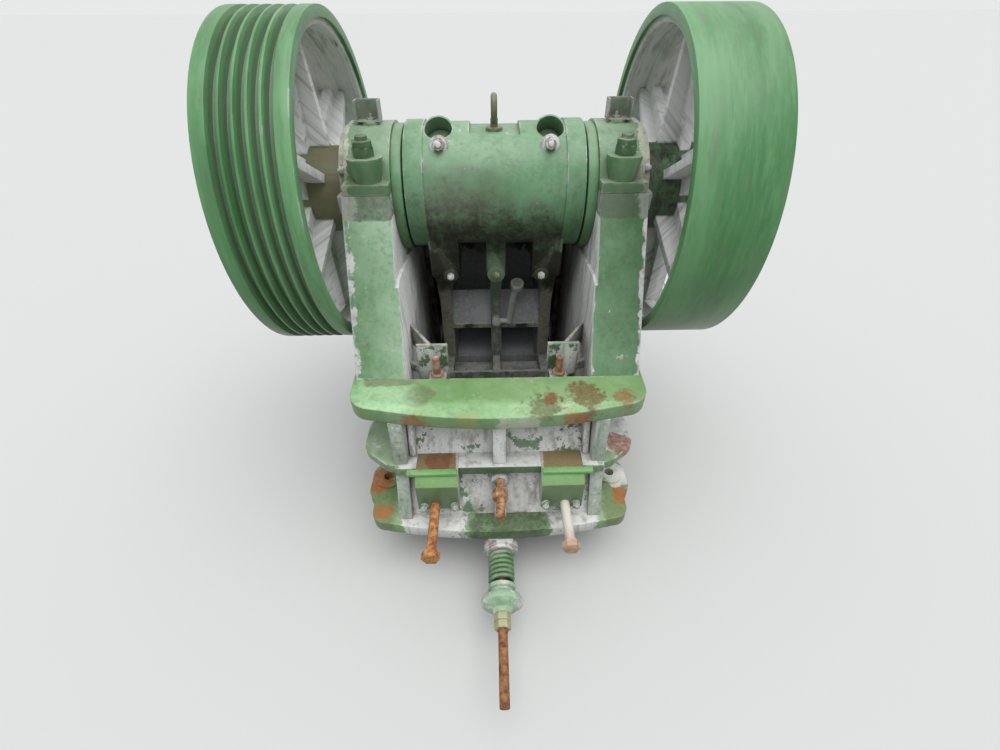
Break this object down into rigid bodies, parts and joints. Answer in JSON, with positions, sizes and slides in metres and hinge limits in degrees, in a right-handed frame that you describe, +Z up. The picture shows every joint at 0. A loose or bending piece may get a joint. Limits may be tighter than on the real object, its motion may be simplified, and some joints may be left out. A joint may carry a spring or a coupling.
{
  "type": "single-toggle jaw crusher",
  "caption": "Stone-crushing machine: a swing jaw on an eccentric shaft with a grooved belt wheel and a flywheel, in a ribbed frame on timber bearers.",
  "frame": {"origin": "middle of the four anchor holes on the underside of the base flange, right under the shaft", "axes": "+Z up, +X along the shaft from the belt wheel to the plain flywheel, +Y from the toggle end to the fixed jaw"},
  "size_m": [1.134, 1.477, 1.235],
  "materials": {
    "green_paint": "chipped, weathered green machine enamel",
    "bright_green_paint": "bright green enamel",
    "dark_green_paint": "dark green enamel",
    "grey_primer": "flaked grey primer over cast iron",
    "rusty_steel": "light rust",
    "bare_steel": "dull turned steel",
    "worn_manganese": "dark worn manganese steel",
    "timber": "rough sawn, greyed"
  },
  "bodies": {
    "frame": {"bearer_left": "timber", "bearer_right": "timber", "base_flange": "green_paint", "side_wall_left": "green_paint", "side_wall_right": "green_paint", "front_wall": "green_paint", "rear_wall": "grey_primer", "rear_beam": "green_paint", "mid_flange": "green_paint", "upper_rear_ribs": "grey_primer", "lower_rear_ribs": "grey_primer", "bearing_cap_left": "green_paint", "bearing_cap_right": "green_paint", "cap_studs_left": "green_paint", "cap_studs_right": "green_paint", "seal_ring_left": "green_paint", "seal_ring_right": "green_paint", "grease_guard_left": "green_paint", "grease_guard_right": "green_paint", "fixed_jaw_plate": "worn_manganese", "cheek_plate_left": "worn_manganese", "cheek_plate_right": "worn_manganese", "lug_bracket_left": "green_paint", "lug_bracket_right": "green_paint", "toggle_block": "worn_manganese", "adjusting_block_left": "green_paint", "adjusting_block_right": "green_paint", "shim_plates": "bright_green_paint", "adjusting_bolts": "rusty_steel", "centre_bolt": "rusty_steel", "toggle_plate": "worn_manganese", "spring_cup": "grey_primer", "tension_spring": "dark_green_paint", "spring_seat": "green_paint", "rod_nuts": "rusty_steel", "tension_rod": "rusty_steel"},
    "rotor": {"eccentric_shaft": "bare_steel", "pulley_flywheel": "green_paint", "plain_flywheel": "green_paint"},
    "swing_jaw": {"pitman": "green_paint", "moving_jaw_plate": "worn_manganese", "eye_bolt": "dark_green_paint", "grease_pipe": "bare_steel"}
  },
  "joints": [
    {"name": "rotor_spin", "type": "hinge", "parent": "frame", "child": "rotor", "pos_m": [0, 0, 0.71], "axis": [1, 0, 0], "continuous": true},
    {"name": "jaw_throw", "type": "hinge", "parent": "rotor", "child": "swing_jaw", "pos_m": [0, 0, 0.718], "axis": [1, 0, 0], "continuous": true}
  ],
  "couplings": [
    {"joint": "jaw_throw", "follows": "rotor_spin", "ratio": -1}
  ]
}
